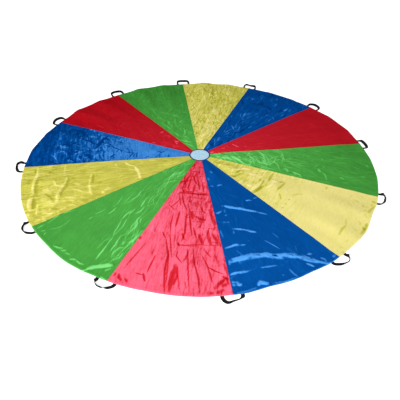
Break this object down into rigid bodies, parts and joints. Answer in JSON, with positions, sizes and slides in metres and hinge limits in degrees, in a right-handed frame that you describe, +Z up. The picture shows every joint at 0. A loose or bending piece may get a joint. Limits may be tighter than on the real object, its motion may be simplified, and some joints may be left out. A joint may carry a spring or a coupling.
{
  "type": "play parachute",
  "caption": "Round play parachute lying spread out: coloured cloth gores with lapped seams round a net vent, a hemmed rim, and webbing loop handles that swing.",
  "frame": {"origin": "the middle of the vent, on the floor that the canopy lies on", "axes": "+Z up, out of the canopy's upper face; +X along the seam where the first red gore begins, and the gores are counted anticlockwise from there as seen from above"},
  "size_m": [3.735, 3.7674, 0.0301],
  "materials": {
    "cloth_red": "thin woven cloth with a soft sheen",
    "cloth_blue": "thin woven cloth with a soft sheen",
    "cloth_yellow": "thin woven cloth with a soft sheen",
    "cloth_green": "thin woven cloth with a soft sheen",
    "net_blue": "fine net",
    "binding_navy": "folded tape",
    "webbing_black": "woven webbing, matt"
  },
  "bodies": {
    "canopy": {"gore_blue_1": "cloth_blue", "gore_blue_2": "cloth_blue", "gore_blue_3": "cloth_blue", "gore_green_1": "cloth_green", "gore_green_2": "cloth_green", "gore_green_3": "cloth_green", "gore_red_1": "cloth_red", "gore_red_2": "cloth_red", "gore_red_3": "cloth_red", "gore_yellow_1": "cloth_yellow", "gore_yellow_2": "cloth_yellow", "gore_yellow_3": "cloth_yellow", "handle_end_01_a": "webbing_black", "handle_end_01_b": "webbing_black", "handle_end_02_a": "webbing_black", "handle_end_02_b": "webbing_black", "handle_end_03_a": "webbing_black", "handle_end_03_b": "webbing_black", "handle_end_04_a": "webbing_black", "handle_end_04_b": "webbing_black", "handle_end_05_a": "webbing_black", "handle_end_05_b": "webbing_black", "handle_end_06_a": "webbing_black", "handle_end_06_b": "webbing_black", "handle_end_07_a": "webbing_black", "handle_end_07_b": "webbing_black", "handle_end_08_a": "webbing_black", "handle_end_08_b": "webbing_black", "handle_end_09_a": "webbing_black", "handle_end_09_b": "webbing_black", "handle_end_10_a": "webbing_black", "handle_end_10_b": "webbing_black", "handle_end_11_a": "webbing_black", "handle_end_11_b": "webbing_black", "handle_end_12_a": "webbing_black", "handle_end_12_b": "webbing_black", "vent_binding": "binding_navy", "vent_net": "net_blue"},
    "handle_01": {"handle_loop_01": "webbing_black"},
    "handle_02": {"handle_loop_02": "webbing_black"},
    "handle_03": {"handle_loop_03": "webbing_black"},
    "handle_04": {"handle_loop_04": "webbing_black"},
    "handle_05": {"handle_loop_05": "webbing_black"},
    "handle_06": {"handle_loop_06": "webbing_black"},
    "handle_07": {"handle_loop_07": "webbing_black"},
    "handle_08": {"handle_loop_08": "webbing_black"},
    "handle_09": {"handle_loop_09": "webbing_black"},
    "handle_10": {"handle_loop_10": "webbing_black"},
    "handle_11": {"handle_loop_11": "webbing_black"},
    "handle_12": {"handle_loop_12": "webbing_black"}
  },
  "joints": [
    {"name": "handle_01_swing", "type": "hinge", "parent": "canopy", "child": "handle_01", "pos_m": [1.79988, -0.009, 0.0006], "axis": [-0.005, -1, 0], "range_deg": [-90, 90]},
    {"name": "handle_02_swing", "type": "hinge", "parent": "canopy", "child": "handle_02", "pos_m": [1.56472, 0.88954, 0.0006], "axis": [0.4942, -0.8693, 0], "range_deg": [-90, 90]},
    {"name": "handle_03_swing", "type": "hinge", "parent": "canopy", "child": "handle_03", "pos_m": [0.89995, 1.55876, 0.0006], "axis": [0.866, -0.5, 0], "range_deg": [-90, 90]},
    {"name": "handle_04_swing", "type": "hinge", "parent": "canopy", "child": "handle_04", "pos_m": [0, 1.7999, 0.0006], "axis": [1, 0, 0], "range_deg": [-90, 90]},
    {"name": "handle_05_swing", "type": "hinge", "parent": "canopy", "child": "handle_05", "pos_m": [-0.89995, 1.55876, 0.0006], "axis": [0.866, 0.5, 0], "range_deg": [-90, 90]},
    {"name": "handle_06_swing", "type": "hinge", "parent": "canopy", "child": "handle_06", "pos_m": [-1.55876, 0.89995, 0.0006], "axis": [0.5, 0.866, 0], "range_deg": [-90, 90]},
    {"name": "handle_07_swing", "type": "hinge", "parent": "canopy", "child": "handle_07", "pos_m": [-1.79988, -0.0075, 0.0006], "axis": [-0.0042, 1, 0], "range_deg": [-90, 90]},
    {"name": "handle_08_swing", "type": "hinge", "parent": "canopy", "child": "handle_08", "pos_m": [-1.55424, -0.90773, 0.0006], "axis": [-0.5043, 0.8635, 0], "range_deg": [-90, 90]},
    {"name": "handle_09_swing", "type": "hinge", "parent": "canopy", "child": "handle_09", "pos_m": [-0.89995, -1.55876, 0.0006], "axis": [-0.866, 0.5, 0], "range_deg": [-90, 90]},
    {"name": "handle_10_swing", "type": "hinge", "parent": "canopy", "child": "handle_10", "pos_m": [0, -1.7999, 0.0006], "axis": [-1, 0, 0], "range_deg": [-90, 90]},
    {"name": "handle_11_swing", "type": "hinge", "parent": "canopy", "child": "handle_11", "pos_m": [0.89345, -1.56249, 0.0006], "axis": [-0.8681, -0.4964, 0], "range_deg": [-90, 90]},
    {"name": "handle_12_swing", "type": "hinge", "parent": "canopy", "child": "handle_12", "pos_m": [1.54739, -0.91936, 0.0006], "axis": [-0.5108, -0.8597, 0], "range_deg": [-90, 90]}
  ]
}
